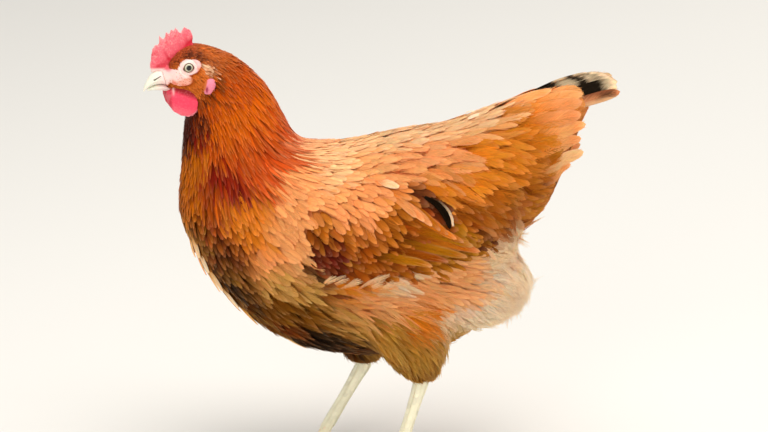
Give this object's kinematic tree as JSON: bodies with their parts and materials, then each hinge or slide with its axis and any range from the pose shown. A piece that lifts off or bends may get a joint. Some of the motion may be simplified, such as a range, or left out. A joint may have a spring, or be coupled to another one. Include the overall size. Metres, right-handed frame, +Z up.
{
  "type": "hen",
  "caption": "Life-size standing brown laying hen with red comb and wattles, folded wings, raised tail and clawed feet.",
  "frame": {"origin": "middle of the hen's ground plan, on the floor", "axes": "+Z up; the hen faces -Y, with her tail towards +Y and her left side at +X"},
  "size_m": [0.1638, 0.4237, 0.4081],
  "materials": {
    "plumage_rust": "rust-brown feathers, soft satin",
    "plumage_buff": "buff and orange-brown feathers, soft satin",
    "plumage_cream": "pale downy feathers, matte",
    "comb_skin": "red, finely grained bare skin with a soft sheen",
    "horn": "pale horn, satin",
    "eye": "wet and glossy",
    "leg_skin": "pale yellow scaled skin"
  },
  "bodies": {
    "root": {"head": "plumage_rust", "neck": "plumage_rust", "breast": "plumage_rust", "trunk": "plumage_buff", "rump": "plumage_buff", "tail_base": "plumage_buff", "tail_left": "plumage_buff", "tail_right": "plumage_buff", "fluff": "plumage_cream", "wing_left": "plumage_buff", "wing_right": "plumage_buff", "thigh_left": "plumage_cream", "thigh_right": "plumage_cream", "comb": "comb_skin", "wattle_left": "comb_skin", "wattle_right": "comb_skin", "ear_lobe_left": "comb_skin", "ear_lobe_right": "comb_skin", "bill_upper": "horn", "bill_lower": "horn", "eye_left": "eye", "eye_right": "eye", "shank_left": "leg_skin", "shank_right": "leg_skin", "foot_left": "leg_skin", "foot_right": "leg_skin", "claw_inner_left": "horn", "claw_middle_left": "horn", "claw_outer_left": "horn", "claw_hind_left": "horn", "claw_inner_right": "horn", "claw_middle_right": "horn", "claw_outer_right": "horn", "claw_hind_right": "horn"}
  },
  "joints": []
}
